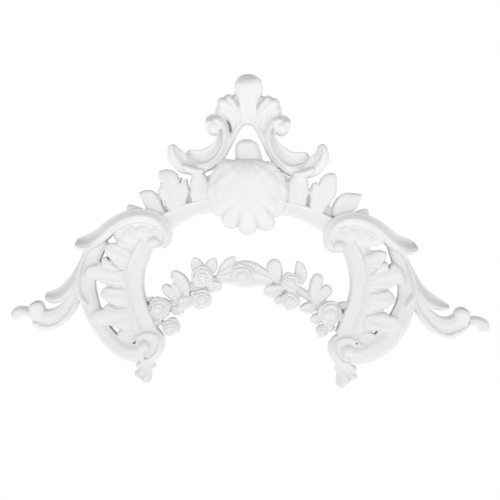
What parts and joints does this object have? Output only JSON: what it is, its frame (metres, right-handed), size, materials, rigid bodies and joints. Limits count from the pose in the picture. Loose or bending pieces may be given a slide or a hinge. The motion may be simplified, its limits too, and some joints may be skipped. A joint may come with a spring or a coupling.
{
  "type": "ceiling corner ornament",
  "caption": "Pierced cast relief for a ceiling corner: shell and finial on an arch, leafy C-scrolls with wings and a rose garland, flat at the back.",
  "frame": {"origin": "on the flat back, behind the middle of the shell", "axes": "+Y out of the flat back into the surface that it is fixed to, so the carving rises towards -Y; +Z towards the finial, +X from the left wing to the right wing"},
  "size_m": [0.605, 0.045, 0.3975],
  "materials": {
    "plaster": "matte"
  },
  "bodies": {
    "root": {"ornament": "plaster"}
  },
  "joints": []
}
